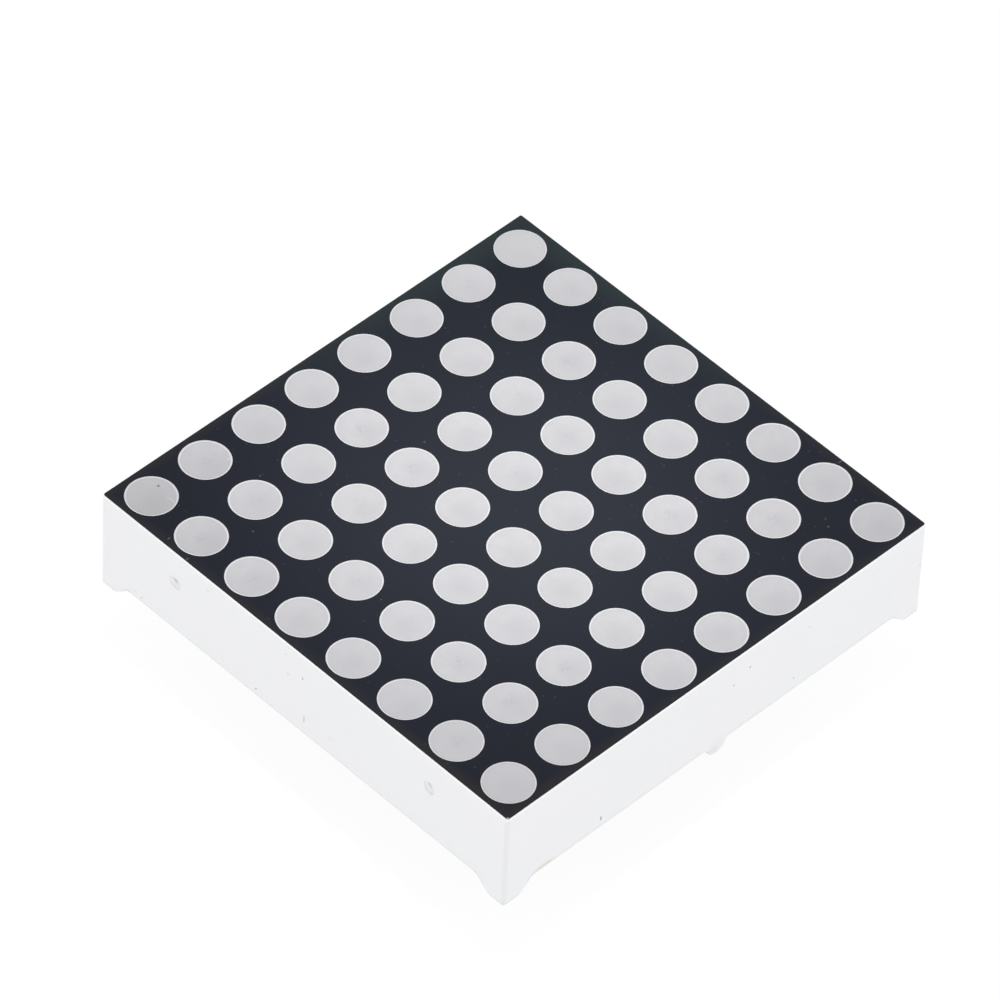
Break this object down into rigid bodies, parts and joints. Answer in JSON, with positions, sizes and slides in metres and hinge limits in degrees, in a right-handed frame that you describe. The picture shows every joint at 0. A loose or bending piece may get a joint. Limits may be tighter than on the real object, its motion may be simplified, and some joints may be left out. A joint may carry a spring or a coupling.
{
  "type": "led dot matrix display",
  "caption": "Square LED dot matrix display with a black face, milky round dots, a white moulded housing and rows of solder pins below.",
  "frame": {"origin": "under the middle of the dot grid, in the plane of the feet's soles, which is the board it is soldered to", "axes": "+Z out of the face, -Y towards the wall with the key tab, where pins 1 to 8 are, +X along that wall from pin 1 to pin 8"},
  "size_m": [0.0318, 0.0318, 0.011],
  "materials": {
    "white_plastic": "satin",
    "black_ink": "matte",
    "milky_epoxy": "satin",
    "laminate": "gloss",
    "copper": "satin",
    "die": "gloss",
    "gold_wire": "polished",
    "tinned_pin": "satin",
    "solder": "satin"
  },
  "bodies": {
    "root": {"reflector_housing": "white_plastic", "face_print": "black_ink", "epoxy_casting": "milky_epoxy", "circuit_board": "laminate", "copper_row_1": "copper", "copper_row_2": "copper", "copper_row_3": "copper", "copper_row_4": "copper", "copper_row_5": "copper", "copper_row_6": "copper", "copper_row_7": "copper", "copper_row_8": "copper", "copper_column_1": "copper", "copper_column_2": "copper", "copper_column_3": "copper", "copper_column_4": "copper", "copper_column_5": "copper", "copper_column_6": "copper", "copper_column_7": "copper", "copper_column_8": "copper", "led_dice_row_1": "die", "led_dice_row_2": "die", "led_dice_row_3": "die", "led_dice_row_4": "die", "led_dice_row_5": "die", "led_dice_row_6": "die", "led_dice_row_7": "die", "led_dice_row_8": "die", "bond_wires_row_1": "gold_wire", "bond_wires_row_2": "gold_wire", "bond_wires_row_3": "gold_wire", "bond_wires_row_4": "gold_wire", "bond_wires_row_5": "gold_wire", "bond_wires_row_6": "gold_wire", "bond_wires_row_7": "gold_wire", "bond_wires_row_8": "gold_wire", "pin_01": "tinned_pin", "pin_02": "tinned_pin", "pin_03": "tinned_pin", "pin_04": "tinned_pin", "pin_05": "tinned_pin", "pin_06": "tinned_pin", "pin_07": "tinned_pin", "pin_08": "tinned_pin", "pin_09": "tinned_pin", "pin_10": "tinned_pin", "pin_11": "tinned_pin", "pin_12": "tinned_pin", "pin_13": "tinned_pin", "pin_14": "tinned_pin", "pin_15": "tinned_pin", "pin_16": "tinned_pin", "solder_joints": "solder"}
  },
  "joints": []
}
